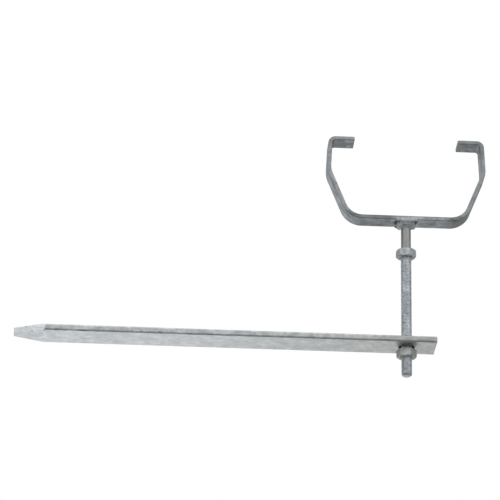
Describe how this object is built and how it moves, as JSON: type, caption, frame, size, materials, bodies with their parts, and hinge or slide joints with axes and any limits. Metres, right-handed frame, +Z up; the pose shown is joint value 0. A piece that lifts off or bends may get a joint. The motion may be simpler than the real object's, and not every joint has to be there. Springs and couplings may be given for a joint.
{
  "type": "adjustable gutter bracket with drive-in spike",
  "caption": "Rise-and-fall gutter bracket: bent-strip cup on a threaded stud, held by nuts in a flat-bar spike driven into a wall.",
  "frame": {"origin": "middle of the cup's seat, the inner bottom face that the gutter stands on", "axes": "+Z up along the stud, out of the cup's mouth; +X towards the spike's square end, so the spike's point is at -X; +Y across the strip"},
  "size_m": [0.4497, 0.035, 0.2434],
  "materials": {
    "cup_zinc": "hot-dip galvanised, satin, darker grey",
    "stud_zinc": "galvanised, satin",
    "weld_zinc": "galvanised weld, dull",
    "nut_zinc": "zinc coated, satin",
    "spike_zinc": "hot-dip galvanised, pale satin"
  },
  "bodies": {
    "spike_body": {"spike": "spike_zinc"},
    "lower_nut_body": {"lower_nut": "nut_zinc"},
    "hanger_body": {"cup": "cup_zinc", "stud": "stud_zinc", "weld_bead": "weld_zinc"},
    "upper_nut_body": {"upper_nut": "nut_zinc"}
  },
  "joints": [
    {"name": "cup_swivel", "type": "hinge", "parent": "spike_body", "child": "lower_nut_body", "pos_m": [0, 0, -0.1294], "axis": [0, 0, 1], "continuous": true},
    {"name": "lower_nut_on_stud", "type": "slide", "parent": "lower_nut_body", "child": "hanger_body", "axis": [0, 0, 1], "range_m": [-0.0425, 0.014]},
    {"name": "upper_nut_on_stud", "type": "slide", "parent": "hanger_body", "child": "upper_nut_body", "axis": [0, 0, 1], "range_m": [-0.0425, 0]}
  ]
}
